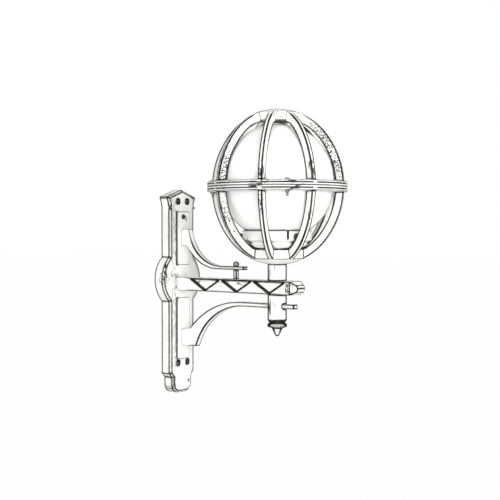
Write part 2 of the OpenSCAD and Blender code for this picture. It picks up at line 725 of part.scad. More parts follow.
module gallery() color(paint) difference() {
    at_post(0) rotate_extrude() polygon([[gallery_in, rim_z], [gallery_r, rim_z],
        [gallery_r, rim_z - gallery_h], [well_r + well_wall, rim_z - gallery_h - gallery_wall],
        [well_r + well_wall, gallery_base + foot_slant * 9 / 16],
        [well_r + well_wall - foot_slant, gallery_base],
        [stem_r + run_fit, gallery_base], [stem_r + run_fit, floor_z],
        [well_r - foot_slant * 3 / 4, floor_z], [well_r, floor_z + foot_slant * 7 / 16],
        [well_r, shelf_z], [gallery_in, shelf_z]]);
    for (k = [0:2]) thumb_places(k) cylinder(r = thumb_d / 2 + run_fit, h = gallery_r + over);
    at_post(shelf_z + 1) rotate(slit_angle) translate([gallery_in - over, -slit_w / 2, 0])
        cube([gallery_wall + 2 * over, slit_w, gallery_h]);
}

thumb_tip = neck_glass_d / 2 + seat_gap;
module thumb_screw(k) color(brass) thumb_places(k) {
    translate([0, 0, thumb_tip]) cylinder(d = thumb_d, h = gallery_r + 0.4 - thumb_tip);
    translate([0, 0, gallery_r + 0.4]) {
        cylinder(d = thumb_head_d - 2, h = thumb_head_t);
        translate([0, 0, 1]) cylinder(d = thumb_head_d, h = thumb_head_t - 2);
    }
}
module thumb_screw_1() thumb_screw(0);
module thumb_screw_2() thumb_screw(1);
module thumb_screw_3() thumb_screw(2);

module globe_seat() color("dimgray") at_post(shelf_z) difference() {
    cylinder(r = gallery_in - 0.5, h = seat_t);
    translate([0, 0, -over]) cylinder(r = well_r + 0.5, h = seat_t + 2 * over);
}

// Hollow ball with an open neck, whose lip stands on the seat
glass_base = shelf_z + seat_t;
glass_meet = globe_z - globe_r * 0.8;
module glass_globe() color("white") at_post(0) difference() {
    union() {
        translate([0, 0, globe_z]) sphere(r = globe_r);
        translate([0, 0, glass_base]) cylinder(d = neck_glass_d, h = glass_meet - glass_base);
        translate([0, 0, glass_base]) cylinder(d = neck_glass_d + 2 * lip_w, h = 3);
    }
    translate([0, 0, globe_z]) sphere(r = globe_r - glass_t);
    translate([0, 0, glass_base - over])
        cylinder(r = neck_glass_d / 2 - glass_t, h = glass_meet - glass_base + over);
    translate([0, 0, glass_base - globe_r]) cylinder(r = globe_r, h = globe_r);
}

module holder_body() color("ivory") at_post(0) rotate_extrude() {
    r = holder_d / 2;
    polygon([[stem_r + run_fit, holder_z], [r - 3, holder_z], [r - 3, holder_z + 14],
        [r, holder_z + 20], [r, holder_top - 2], [r - 2, holder_top],
        [cap_r + run_fit + shell_t, holder_top], [cap_r + run_fit + shell_t, contact_z - 1],
        [5, contact_z - 1], [5, contact_z - 5], [10, contact_z - 5], [10, holder_z + 10],
        [stem_r + run_fit, holder_z + 10]]);
}

module holder_shell() color(brass) at_post(contact_z + 2) difference() {
    cylinder(r = cap_r + run_fit + shell_t, h = holder_top - contact_z - 4);
    translate([0, 0, -over]) cylinder(r = cap_r + run_fit, h = holder_top - contact_z);
}

module holder_contact() color(brass) at_post(contact_z - 1) {
    cylinder(r = cap_r - 4, h = 1);
    cylinder(r = 3.5, h = 4);
}

module bulb_contact() color(steel) at_post(bulb_z) cylinder(r = 4.2, h = 1.4);

module bulb_insulator() color("black") at_post(bulb_z + 1.4)
    cylinder(r1 = 4.6, r2 = cap_r - 1.5, h = 4);

cap_z = bulb_z + 5.4;
cap_h = 23;
module bulb_cap() color(steel) at_post(cap_z) difference() {
    cylinder(r = cap_r, h = cap_h);
    translate([0, 0, 1]) cylinder(r = cap_r - 0.8, h = cap_h);
}

// Bulb envelope: a ball on a cone, hollow, whose neck stands in the cap
bulb_top = bulb_z + bulb_len;
ball_z = bulb_top - bulb_d / 2;
bulb_neck_r = cap_r - 1;
module envelope(r, neck_r, low) {
    translate([0, 0, ball_z]) sphere(r = r);
    meet = ball_z - r * 0.436;
    rotate_extrude() polygon([[0, low], [neck_r, low], [neck_r, cap_z + cap_h],
        [r * 0.9, meet], [0, meet]]);
}

module bulb_glass() color("white") at_post(0) difference() {
    envelope(bulb_d / 2, bulb_neck_r, cap_z + cap_h - 5);
    envelope(bulb_d / 2 - 1, bulb_neck_r - 1, cap_z + cap_h - 5 - over);
}

// Glass stem inside the bulb, with two lead wires and a coiled filament between them
stem_glass_top = ball_z - 12;
module bulb_stem() color("white") at_post(cap_z + 1) {
    cylinder(r = cap_r - 3.5, h = 3);
    cylinder(r = 4, h = stem_glass_top - cap_z - 1);
}

module bulb_filament() color(steel) at_post(0) {
    for (s = [-1, 1]) wire([[s * 3, 0, stem_glass_top], [s * 12, 0, ball_z + 4]], 0.4);
    translate([0, 0, ball_z + 4]) rotate([0, 90, 0]) cylinder(r = 0.9, h = 24, center = true, $fn = 24);
}

wall_plate();
arm();
arm_screws();
upper_brace();
upper_brace_screws();
brace_pillar();
pillar_nut();
lower_brace();
lower_brace_screws();
earth_screw();
earth_washer();
terminal_block();
terminal_clamps();
terminal_fixing();
wires();
neck_tube();
lower_post();
stem_tube();
stem_nut();
coupling_nut();
tie_rod();
finial();
lower_cage();
upper_cage();
ring_bolts();
ring_washers();
ring_nuts();
gallery();
thumb_screw_1();
thumb_screw_2();
thumb_screw_3();
globe_seat();
glass_globe();
holder_body();
holder_shell();
holder_contact();
bulb_cap();
bulb_insulator();
bulb_contact();
bulb_glass();
bulb_stem();
bulb_filament();
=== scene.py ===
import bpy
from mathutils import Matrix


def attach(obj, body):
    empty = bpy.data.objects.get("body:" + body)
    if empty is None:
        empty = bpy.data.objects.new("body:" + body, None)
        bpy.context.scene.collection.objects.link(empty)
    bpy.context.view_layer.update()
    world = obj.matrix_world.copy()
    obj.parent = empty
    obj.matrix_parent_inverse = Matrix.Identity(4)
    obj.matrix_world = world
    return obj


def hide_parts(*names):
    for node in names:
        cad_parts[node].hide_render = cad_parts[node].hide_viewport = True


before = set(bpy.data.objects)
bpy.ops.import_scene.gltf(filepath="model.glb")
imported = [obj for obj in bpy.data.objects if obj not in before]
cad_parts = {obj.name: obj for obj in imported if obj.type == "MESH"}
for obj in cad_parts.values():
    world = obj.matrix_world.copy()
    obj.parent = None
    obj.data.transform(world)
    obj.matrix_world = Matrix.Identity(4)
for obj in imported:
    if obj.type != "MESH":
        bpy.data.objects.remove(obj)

"""The looks of an outdoor wall lamp: a pale painted casting with a ribbed ball cage.

The frame is in metres: +Z is up, the wall is the plane y = 0, and the lamp stands out
towards -Y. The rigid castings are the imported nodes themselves, with procedural finishes.
Screws, nuts, threads and the globe are finer pieces that stand for their nodes.
"""

import logging
import math
from dataclasses import dataclass, field
from enum import Enum
from typing import Callable, Optional, Sequence

import bpy
from mathutils import Matrix, Vector

LOG = logging.getLogger("wall_lamp")
MM = 0.001
TAU = 2 * math.pi
POST_Y = -306.0  # the axis of the post and the ball, in millimetres
RING_Z = 0.2177  # the joint between the ball's two halves, in metres
Colour = tuple[float, float, float]
Point = tuple[float, float, float]
Profile = list[tuple[float, float]]  # radius and height
Shape = tuple[list[Point], list[tuple[int, ...]]]  # vertices in millimetres, and faces
Spot = tuple[float, float, float, float, float, float]  # the inputs of SPOT, in order
Socket = bpy.types.NodeSocket
Turned = Callable[[float, float, float], float]  # the true radius at an angle, radius and height
Given = Callable[[str], Socket]  # returns a group's input by name


class Body(Enum):
    """The rigid bodies that pieces ride on."""

    BRACKET = "bracket"
    CAGE_TOP = "cage_top"
    BULB = "bulb"
    THUMB_1 = "thumb_1"
    THUMB_2 = "thumb_2"
    THUMB_3 = "thumb_3"


class Slot(Enum):
    """The names of the record's material slots for the new pieces."""

    STEEL = "steel"
    BRASS = "brass"
    OPAL = "opal_glass"
    CAP = "cap_metal"
    FILAMENT = "filament"


class Cells:
    """The sizes of the noises that have one use, in cells per metre."""

    EDGE_BREAKUP = 260.0
    DIRT = 95.0
    SPOT_MARKS = 360.0
    DASHES = 420.0
    GAPS = 22.0
    WAVES = 38.0
    TONE = 14.0
    CLOUD = 18.0
    FROST = 300.0
    MOTTLE = 60.0
    DULLNESS = 240.0


# ---------------------------------------------------------------- shader nodes


@dataclass
class Nodes:
    """Adds and links the nodes of one shader tree."""

    tree: bpy.types.NodeTree

    def add(self, kind: str, **values: object) -> bpy.types.Node:
        """Adds a node.

        Args:
            kind: Blender's class name without "ShaderNode".
            values: attributes of the node, or inputs by name with spaces as underscores.

        Returns:
            The new node.
        """
        node = self.tree.nodes.new("ShaderNode" + kind)
        for name, value in values.items():
            if hasattr(node, name):
                setattr(node, name, value)
            else:
                self.give(node, **{name: value})
        return node

    def feed(self, socket: Socket, value: object) -> None:
        """Links a socket to an input, or sets the input's own value."""
        if isinstance(value, Socket):
            self.tree.links.new(value, socket)
        elif isinstance(value, tuple) and len(value) == 3 and socket.type == "RGBA":
            socket.default_value = (*value, 1.0)
        else:
            socket.default_value = value

    def give(self, node: bpy.types.Node, **values: object) -> None:
        """Feeds a node's inputs by name, with spaces as underscores."""
        for name, value in values.items():
            self.feed(node.inputs[name.replace("_", " ")], value)

    def fill(self, node: bpy.types.Node, *values: object) -> bpy.types.Node:
        """Feeds a node's first inputs in their order, and returns the node."""
        for socket, value in zip(node.inputs, values):
            self.feed(socket, value)
        return node

    def math(self, operation: str, a: object, b: object = 0.0) -> Socket:
        """Returns a Math node's result; sums and products are kept within 0 and 1."""
        node = self.add("Math", operation=operation, use_clamp=operation in ("ADD", "MULTIPLY"))
        return self.fill(node, a, b).outputs[0]

    def add_up(self, a: object, b: object) -> Socket:
        """Returns the plain sum of two values, which may be below 0."""
        return self.fill(self.add("Math", operation="ADD"), a, b).outputs[0]

    def span(self, value: object, low: object, high: object) -> Socket:
        """Returns value mapped smoothly to 0 at low and 1 at high."""
        node = self.add("MapRange", interpolation_type="SMOOTHSTEP", Value=value)
        self.give(node, From_Min=low, From_Max=high)
        return node.outputs["Result"]

    def ramp(self, value: object, low: float, high: float, first: object, last: object) -> Socket:
        """Returns value mapped evenly from low and high to first and last, and no further."""
        node = self.add("MapRange", Value=value, From_Min=low, From_Max=high)
        self.give(node, To_Min=first, To_Max=last)
        return node.outputs["Result"]

    def measure(self, operation: str, *vectors: object) -> Socket:
        """Returns the number that a VectorMath node gives for one or two vectors."""
        return self.fill(self.add("VectorMath", operation=operation), *vectors).outputs["Value"]

    def position(self) -> Socket:
        """Returns the place on the surface, in metres in the piece's own frame."""
        return self.add("TexCoord").outputs["Object"]

    def seen(self) -> Socket:
        """Returns 1 for rays from the camera, mirrors and glass, and 0 for light."""
        rays = self.add("LightPath").outputs
        seen = self.math("MAXIMUM", rays["Is Camera Ray"], rays["Is Glossy Ray"])
        return self.math("MAXIMUM", seen, rays["Is Transmission Ray"])

    def mix(self, share: object, a: object, b: object) -> Socket:
        """Returns the colour between a and b at the given share."""
        node = self.add("Mix", data_type="RGBA")
        self.feed(node.inputs[0], share)
        self.feed(node.inputs[6], a)
        self.feed(node.inputs[7], b)
        return node.outputs[2]

    def noise(self, place: object, scale: object, detail: float = 4.0) -> Socket:
        """Returns a noise factor at a place, with scale in cells per metre."""
        return self.add("TexNoise", Scale=scale, Detail=detail, Vector=place).outputs[0]


@dataclass
class Effect:
    """A node group with named number inputs and one number output, built once."""

    name: str
    inputs: dict[str, float]
    output: str
    wire: Callable[[Nodes, Given], Socket]

    def group(self) -> bpy.types.NodeTree:
        """Returns the node group, and makes it the first time."""
        made = bpy.data.node_groups.get(self.name)
        if made:
            return made
        made = bpy.data.node_groups.new(self.name, "ShaderNodeTree")
        for name, value in self.inputs.items():
            socket = made.interface.new_socket(name, in_out="INPUT", socket_type="NodeSocketFloat")
            socket.default_value = value
        made.interface.new_socket(self.output, in_out="OUTPUT", socket_type="NodeSocketFloat")
        given = made.nodes.new("NodeGroupInput").outputs
        result = made.nodes.new("NodeGroupOutput").inputs[self.output]
        made.links.new(self.wire(Nodes(made), lambda key: given[key]), result)
        return made

    def place(self, nodes: Nodes, **values: object) -> Socket:
        """Places the group in a material's tree with its inputs by name, and returns its output."""
        return nodes.add("Group", node_tree=self.group(), **values).outputs[0]


# 1 less the cosine of the bend, where an edge's strip starts and where it is full.
EDGE_BEND = (0.0003, 0.0026)
# The noise that makes a mark, far from a spot and at its middle.
SPARSE, THICK = 0.64, 0.44


def wire_edges(nodes: Nodes, given: Given) -> Socket:
    """Wires a mask of the dark strips along sharp edges, painted shade lines and wear, broken up by
    noise.
    """
    bevel = nodes.add("Bevel", samples=8, Radius=given("Radius")).outputs[0]
    alike = nodes.measure("DOT_PRODUCT", bevel, nodes.add("NewGeometry").outputs["Normal"])
    bend = nodes.math("SUBTRACT", 1.0, alike)
    ragged = nodes.math("MULTIPLY", nodes.noise(nodes.position(), Cells.EDGE_BREAKUP), given("Breakup"))
    low, high = (nodes.math("ADD", ragged, limit) for limit in EDGE_BEND)
    return nodes.span(bend, low, high)


def wire_hollow_shade_and_dirt(nodes: Nodes, given: Given) -> Socket:
    """Wires a mask of painted shade in hollows and corners, where little sky is open, broken up by
    patches of dirt.
    """
    sky = nodes.add("AmbientOcclusion", samples=8, Distance=given("Reach")).outputs["AO"]
    deep = nodes.span(sky, given("Open"), given("Shut"))
    patch = nodes.span(nodes.noise(nodes.position(), Cells.DIRT, 6.0), 0.3, 0.62)
    broken = nodes.math("ADD", patch, 0.25)
    return nodes.math("MULTIPLY", deep, broken)


def wire_speckle(nodes: Nodes, given: Given) -> Socket:
    """Wires a mask of fine pits that gather in patches."""
    place = nodes.position()
    grain = nodes.noise(place, given("Scale"), 3.0)
    patch = nodes.span(nodes.noise(place, given("Patch"), 2.0), 0.42, 0.66)
    dots = nodes.span(grain, given("Threshold"), nodes.math("ADD", given("Threshold"), 0.05))
    return nodes.math("MULTIPLY", dots, patch)


def wire_spot(nodes: Nodes, given: Given) -> Socket:
    """Wires a mask of dark marks, painted shade and pits, that lie thick round one place and thin
    out with distance.

    A Level below 1 draws the marks out sideways, and an Upright below 1 draws them out upwards.
    """
    place = nodes.position()
    centre = nodes.add("CombineXYZ", X=given("X"), Y=given("Y"), Z=given("Z")).outputs[0]
    near = nodes.span(nodes.measure("DISTANCE", place, centre), given("Radius"), 0.0)
    level, upright = given("Level"), given("Upright")
    shape = nodes.add("CombineXYZ", X=level, Y=level, Z=upright).outputs[0]
    drawn = nodes.fill(nodes.add("VectorMath", operation="MULTIPLY"), place, shape).outputs[0]
    grain = nodes.noise(drawn, Cells.SPOT_MARKS, 2.0)
    limit = nodes.math("SUBTRACT", SPARSE, nodes.math("MULTIPLY", near, SPARSE - THICK))
    dots = nodes.span(grain, limit, nodes.math("ADD", limit, 0.06))
    return nodes.math("MULTIPLY", dots, nodes.span(near, 0.0, 0.25))


def wire_shade_dash(nodes: Nodes, given: Given) -> Socket:
    """Wires a mask of an upright line of painted shade at one X, broken into dashes."""
    place = nodes.position()
    x = nodes.add("SeparateXYZ", Vector=place).outputs["X"]
    off = nodes.math("ABSOLUTE", nodes.add_up(x, given("Offset")))
    line = nodes.span(off, given("Width"), 0.0)
    drawn = nodes.add("Mapping", Scale=(1.0, 1.0, 0.2), Vector=place).outputs[0]
    dashes = nodes.span(nodes.noise(drawn, Cells.DASHES, 2.0), 0.42, 0.52)
    long = nodes.span(nodes.noise(place, Cells.GAPS, 1.0), 0.30, 0.45)
    return nodes.math("MULTIPLY", nodes.math("MULTIPLY", line, dashes), long)


def wire_casting(nodes: Nodes, given: Given) -> Socket:
    """Wires the height of a sand-cast skin: fine grain on soft waves."""
    place = nodes.position()
    waves, grain = nodes.noise(place, Cells.WAVES, 1.0), nodes.noise(place, given("Grain"), 5.0)
    return nodes.fill(nodes.add("Math", operation="MULTIPLY_ADD"), waves, 2.0, grain).outputs[0]


EDGES = Effect("edge_shade_and_wear", {"Radius": 0.0016, "Breakup": 0.05}, "Mask", wire_edges)
HOLLOW_SHADE_AND_DIRT = Effect("corner_shade_and_dirt", {"Reach": 0.02, "Open": 0.75, "Shut": 0.35}, "Mask", wire_hollow_shade_and_dirt)
SPECKLE = Effect("speckle", {"Scale": 900.0, "Patch": 30.0, "Threshold": 0.6}, "Mask", wire_speckle)
SPOT = Effect(
    "shade_and_pit_marks", {"X": 0.0, "Y": 0.0, "Z": 0.0, "Radius": 0.1, "Level": 1.0, "Upright": 1.0},
    "Mask", wire_spot,
)
SHADE_DASH = Effect("shade_dash_line", {"Offset": 0.0, "Width": 0.001}, "Mask", wire_shade_dash)
CASTING = Effect("cast_skin", {"Grain": 700.0}, "Height", wire_casting)


# -------------------------------------------------------------------- finishes


@dataclass(frozen=True)
class Finish:
    """What every finish has: a name, a colour and a roughness."""

    name: str
    colour: Colour
    roughness: float = 0.5

    def start(self) -> tuple[bpy.types.Material, Nodes, bpy.types.Node]:
        """Returns a new material, its nodes and its Principled shader."""
        material = bpy.data.materials.new(self.name)
        material.use_nodes = True
        return material, Nodes(material.node_tree), material.node_tree.nodes["Principled BSDF"]

    def shade(self, share: float) -> Colour:
        """Returns the colour darkened to a share of itself."""
        return tuple(c * share for c in self.colour)


class Thin:
    """How far the dark edge strips reach where the lamp's lines are thin, in metres."""

    PANEL = 1.3 * MM
    WALL = 1.2 * MM
    STEP = 0.9 * MM
    POLE = 1.6 * MM
    GROOVE = 1.7 * MM


class Fade:
    """The spans over which the paint's dark lines change, in metres."""

    PANEL = 2 * MM
    WALL = 15 * MM
    STEP = 4 * MM
    FAR_SIDE = (27 * MM, 30 * MM)
    HUB = (56 * MM, 66 * MM)
    RING = (10.5 * MM, 12.5 * MM)
    DOME = (158.5 * MM, 160 * MM)


@dataclass(frozen=True)
class CastPaint(Finish):
    """Aged pale paint on a sand casting, with dark strips along its edges that are painted shade
    lines and rubbed wear. Lengths in metres.

    A casting may have one kind of place where its edge strips are thin: the panel of the plate,
    the end at the wall, the steps of the gallery, or the ball's poles and the grooves of its ring.
    """

    # the near black of the painted shade lines along edges and on sides that turn away
    painted_dark: Colour = (0.010, 0.010, 0.0095)
    # the near black of the pits, the dirt and the painted shade
    dirt_and_shade: Colour = (0.022, 0.0215, 0.021)
    edge: float = 6.0 * MM  # reach of the edge strips
    far_edge: float = 12 * MM  # the same on the plate's far side
    reach: float = 18 * MM  # how far a corner's dirt spreads
    shut: float = 0.30  # the open share of the sky at which the dirt is full
    pits: float = 0.62  # the noise that makes a pit
    patch: float = 26.0  # patches of pits in a metre
    spots: tuple[Spot, ...] = ()
    scores: tuple[float, ...] = ()  # the X of each dashed line of painted shade
    rim: Optional[tuple[float, float]] = None  # facing from which a round piece turns dark with painted shade
    dome_rim_shade: tuple[float, float] = (0.84, 0.94)  # the same on the ball's domes
    panel_x: float = 5.5 * MM
    panel: Optional[Point] = None  # half its width, its face and half its height
    wall_y: Optional[float] = None
    step_z: Optional[float] = None
    ring_z: Optional[float] = None

    def on_panel(self, nodes: Nodes, x: Socket, y: Socket, z: Socket) -> Socket:
        """Returns the strips' reach on the plate: thin on its panel, wide on the far side."""
        half, face, tall = self.panel
        fade = Fade.PANEL
        across = nodes.math("ABSOLUTE", nodes.add_up(x, -self.panel_x))
        inside = nodes.math("MULTIPLY", nodes.span(across, half + fade, half - fade),
                            nodes.span(y, face + 3 * fade, face))
        inside = nodes.math("MULTIPLY", inside,
                            nodes.span(nodes.math("ABSOLUTE", z), tall + fade, tall - fade))
        outside = nodes.ramp(x, *Fade.FAR_SIDE, self.edge, self.far_edge)
        return nodes.ramp(inside, 0.0, 1.0, outside, Thin.PANEL)

    def on_ball(self, nodes: Nodes, x: Socket, y: Socket, z: Socket) -> Socket:
        """Returns the strips' reach on the ball: thin at its poles and in the ring's grooves."""
        flat = nodes.add("CombineXYZ", X=x, Y=nodes.add_up(y, -POST_Y * MM)).outputs[0]
        ribs = nodes.ramp(nodes.measure("LENGTH", flat), *Fade.HUB, Thin.POLE, self.edge)
        height = nodes.math("ABSOLUTE", nodes.add_up(z, -self.ring_z))
        return nodes.ramp(height, *Fade.RING, Thin.GROOVE, ribs)

    def strip(self, nodes: Nodes, place: Socket) -> object:
        """Returns how far the dark edge strips reach at a place."""
        split = nodes.add("SeparateXYZ", Vector=place).outputs
        x, y, z = split["X"], split["Y"], split["Z"]
        if self.panel is not None:
            return self.on_panel(nodes, x, y, z)
        if self.ring_z is not None:
            return self.on_ball(nodes, x, y, z)
        if self.wall_y is not None:
            return nodes.ramp(y, self.wall_y - Fade.WALL, self.wall_y, self.edge, Thin.WALL)
        if self.step_z is not None:
            return nodes.ramp(z, self.step_z, self.step_z + Fade.STEP, Thin.STEP, self.edge)
        return self.edge

    def painted_rim_shade(self, nodes: Nodes, place: Socket) -> Optional[Socket]:
        """Returns the share of painted shade where posts, knobs and the ball's two domes turn away
        from the camera.
        """
        if self.rim is None and self.ring_z is None:
            return None
        facing = nodes.add("LayerWeight", Blend=0.5).outputs["Facing"]
        if self.rim is not None:
            return nodes.span(facing, *self.rim)
        z = nodes.add("SeparateXYZ", Vector=place).outputs["Z"]
        height = nodes.math("ABSOLUTE", nodes.add_up(z, -self.ring_z))
        turned = nodes.span(facing, *self.dome_rim_shade)
        return nodes.math("MULTIPLY", turned, nodes.span(height, *Fade.DOME))

    def lay_dirt_and_shade(self, nodes: Nodes, paint: object, mask: Socket, share: float) -> Socket:
        """Returns the paint with its dark colour of dirt and painted shade over it where a mask is,
        at a share.
        """
        return nodes.mix(nodes.math("MULTIPLY", mask, share), paint, self.dirt_and_shade)

    def build(self) -> bpy.types.Material:
        """Returns the paint's material."""
        material, nodes, shader = self.start()
        place = nodes.position()
        tone = nodes.span(nodes.noise(place, Cells.TONE, 3.0), 0.35, 0.65)
        paint = nodes.mix(tone, self.colour, self.shade(0.9))
        specks = SPECKLE.place(nodes, Scale=850.0, Patch=self.patch, Threshold=self.pits)
        paint = self.lay_dirt_and_shade(nodes, paint, specks, share=0.7)
        # painted shade marks, some of them pits, at given places
        for spot in self.spots:
            marks = SPOT.place(nodes, **dict(zip(SPOT.inputs, spot)))
            paint = self.lay_dirt_and_shade(nodes, paint, marks, share=0.95)
        # painted shade: upright dashed lines
        for x in self.scores:
            line = SHADE_DASH.place(nodes, Offset=-x, Width=2.2 * MM)
            paint = self.lay_dirt_and_shade(nodes, paint, line, share=0.9)
        # painted shade: the near black laid in hollows and corners, with patches of dirt
        hollow_shade_and_dirt = HOLLOW_SHADE_AND_DIRT.place(nodes, Reach=self.reach, Open=0.62, Shut=self.shut)
        paint = self.lay_dirt_and_shade(nodes, paint, hollow_shade_and_dirt, share=0.95)
        # painted shade: dark lines along the edges, with rubbed wear
        edge = EDGES.place(nodes, Radius=self.strip(nodes, place), Breakup=0.0024)
        paint = nodes.mix(edge, paint, self.painted_dark)
        # painted shade where round pieces turn away from the camera
        rim_shade_share = self.painted_rim_shade(nodes, place)
        if rim_shade_share:
            paint = nodes.mix(rim_shade_share, paint, self.painted_dark)
        rough = nodes.ramp(edge, 0.0, 1.0, self.roughness, 0.75)
        skin = CASTING.place(nodes, Grain=620.0)
        soft = nodes.add("Bevel", samples=4, Radius=0.9 * MM).outputs[0]
        bump = nodes.add("Bump", Strength=0.25, Distance=0.25 * MM, Height=skin, Normal=soft)
        nodes.give(shader, Base_Color=paint, Specular_IOR_Level=0.16, Roughness=rough,
                   Normal=bump.outputs[0])
        return material


@dataclass(frozen=True)
class Metal(Finish):
    """Bare metal with turning marks and a dull film."""

    film: Colour = (0.16, 0.15, 0.14)
    marks: float = 1600.0  # turning marks in a metre
    flat: float = 12.0  # how many times as long as high they are

    def build(self) -> bpy.types.Material:
        """Returns the metal's material."""
        material, nodes, shader = self.start()
        place = nodes.position()
        hollow_shade_and_dirt = HOLLOW_SHADE_AND_DIRT.place(nodes, Reach=6 * MM, Open=0.85, Shut=0.35)
        specks = SPECKLE.place(nodes, Scale=1500.0, Patch=120.0, Threshold=0.58)
        dull = nodes.math("ADD", nodes.math("MULTIPLY", specks, 0.35), hollow_shade_and_dirt)
        skin = nodes.mix(dull, self.colour, self.film)
        spread = nodes.noise(place, Cells.DULLNESS)
        rough = nodes.ramp(spread, 0.0, 1.0, self.roughness * 0.8, self.roughness * 1.3)
        lines = nodes.add("Mapping", Scale=(1.0, 1.0, self.flat), Vector=place).outputs[0]
        fine = nodes.noise(lines, self.marks / self.flat, 2.0)
        bump = nodes.add("Bump", Strength=0.15, Distance=0.05 * MM, Height=fine).outputs[0]
        nodes.give(shader, Metallic=1.0, Base_Color=skin, Roughness=rough, Normal=bump)
        return material


@dataclass(frozen=True)
class Opal(Finish):
    """White opal glass, glossy and milky, with a little dust and painted shade along its outline
    low down.
    """

    dust: Colour = (0.62, 0.61, 0.58)
    painted_rim_shade: Colour = (0.16, 0.16, 0.16)
    low: float = 0.165  # the height below which the painted rim shade is full
    fade: float = 20 * MM

    def build(self) -> bpy.types.Material:
        """Returns the opal glass's material."""
        material, nodes, shader = self.start()
        place = nodes.position()
        cloud = nodes.span(nodes.noise(place, Cells.CLOUD, 5.0), 0.45, 0.75)
        specks = SPECKLE.place(nodes, Scale=700.0, Patch=20.0, Threshold=0.66)
        veil = nodes.math("MULTIPLY", cloud, 0.10)
        veil = nodes.math("ADD", veil, nodes.math("MULTIPLY", specks, 0.25))
        glass = nodes.mix(veil, self.colour, self.dust)
        # painted shade: a dark line where the glass turns away from the camera, low down
        rim = nodes.span(nodes.add("LayerWeight", Blend=0.5).outputs["Facing"], 0.77, 0.87)
        height = nodes.add("SeparateXYZ", Vector=place).outputs["Z"]
        line = nodes.math("MULTIPLY", rim, nodes.span(height, self.low + self.fade, self.low))
        rough = nodes.ramp(cloud, 0.0, 1.0, self.roughness, self.roughness + 0.2)
        nodes.give(shader, Base_Color=nodes.mix(line, glass, self.painted_rim_shade), Roughness=rough,
                   IOR=1.5, Transmission_Weight=0.05, Subsurface_Weight=0.45,
                   Subsurface_Radius=(0.02, 0.02, 0.02))
        return material


@dataclass(frozen=True)
class ClearGlass(Finish):
    """Thin lamp glass, faintly frosted."""

    def build(self) -> bpy.types.Material:
        """Returns the lamp glass's material."""
        material, nodes, shader = self.start()
        frost = nodes.span(nodes.noise(nodes.position(), Cells.FROST, 3.0), 0.4, 0.7)
        skin = nodes.mix(frost, self.colour, self.shade(0.94))
        rough = nodes.ramp(frost, 0.0, 1.0, self.roughness, self.roughness + 0.15)
        nodes.give(shader, Base_Color=skin, Roughness=rough, IOR=1.45, Transmission_Weight=0.85)
        return material


@dataclass(frozen=True)
class Solid(Finish):
    """Porcelain, rubber or plastic: a body colour with faint mottling and a soft skin."""

    coat: float = 0.0
    mottle: float = 0.12  # how much darker the darker patches are
    grain: float = 500.0

    def build(self) -> bpy.types.Material:
        """Returns the material."""
        material, nodes, shader = self.start()
        tone = nodes.noise(nodes.position(), Cells.MOTTLE)
        skin = nodes.mix(nodes.span(tone, 0.35, 0.65), self.colour, self.shade(1 - self.mottle))
        # painted shade: the colour darkened in hollows and corners
        hollow_shade_and_dirt = HOLLOW_SHADE_AND_DIRT.place(nodes, Reach=8 * MM, Open=0.8, Shut=0.3)
        skin = nodes.mix(nodes.math("MULTIPLY", hollow_shade_and_dirt, 0.6), skin, self.shade(0.35))
        rough = nodes.ramp(tone, 0.0, 1.0, self.roughness * 0.85, self.roughness * 1.15)
        fine = CASTING.place(nodes, Grain=self.grain)
        bump = nodes.add("Bump", Strength=0.1, Distance=0.1 * MM, Height=fine).outputs[0]
        nodes.give(shader, Base_Color=skin, Roughness=rough, Coat_Weight=self.coat, Normal=bump)
        return material


STROKE, UPRIGHT_DRAW = 0.13, 0.1  # how far the noise is drawn out: its length is the cell's over this


def pits(radius: float, *places: Point) -> tuple[Spot, ...]:
    """Returns round marks of painted shade and pits, thick within a radius of each place."""
    return tuple((*place, radius, 1.0, 1.0) for place in places)


def strokes(radius: float, *places: Point) -> tuple[Spot, ...]:
    """Returns level strokes of painted shade, thick within a radius of each place."""
    return tuple((*place, radius, STROKE, 1.0) for place in places)


def upright_shade_strokes(radius: float, *places: Point) -> tuple[Spot, ...]:
    """Returns upright strokes of painted shade, thick within a radius of each place."""
    return tuple((*place, radius, 1.0, UPRIGHT_DRAW) for place in places)


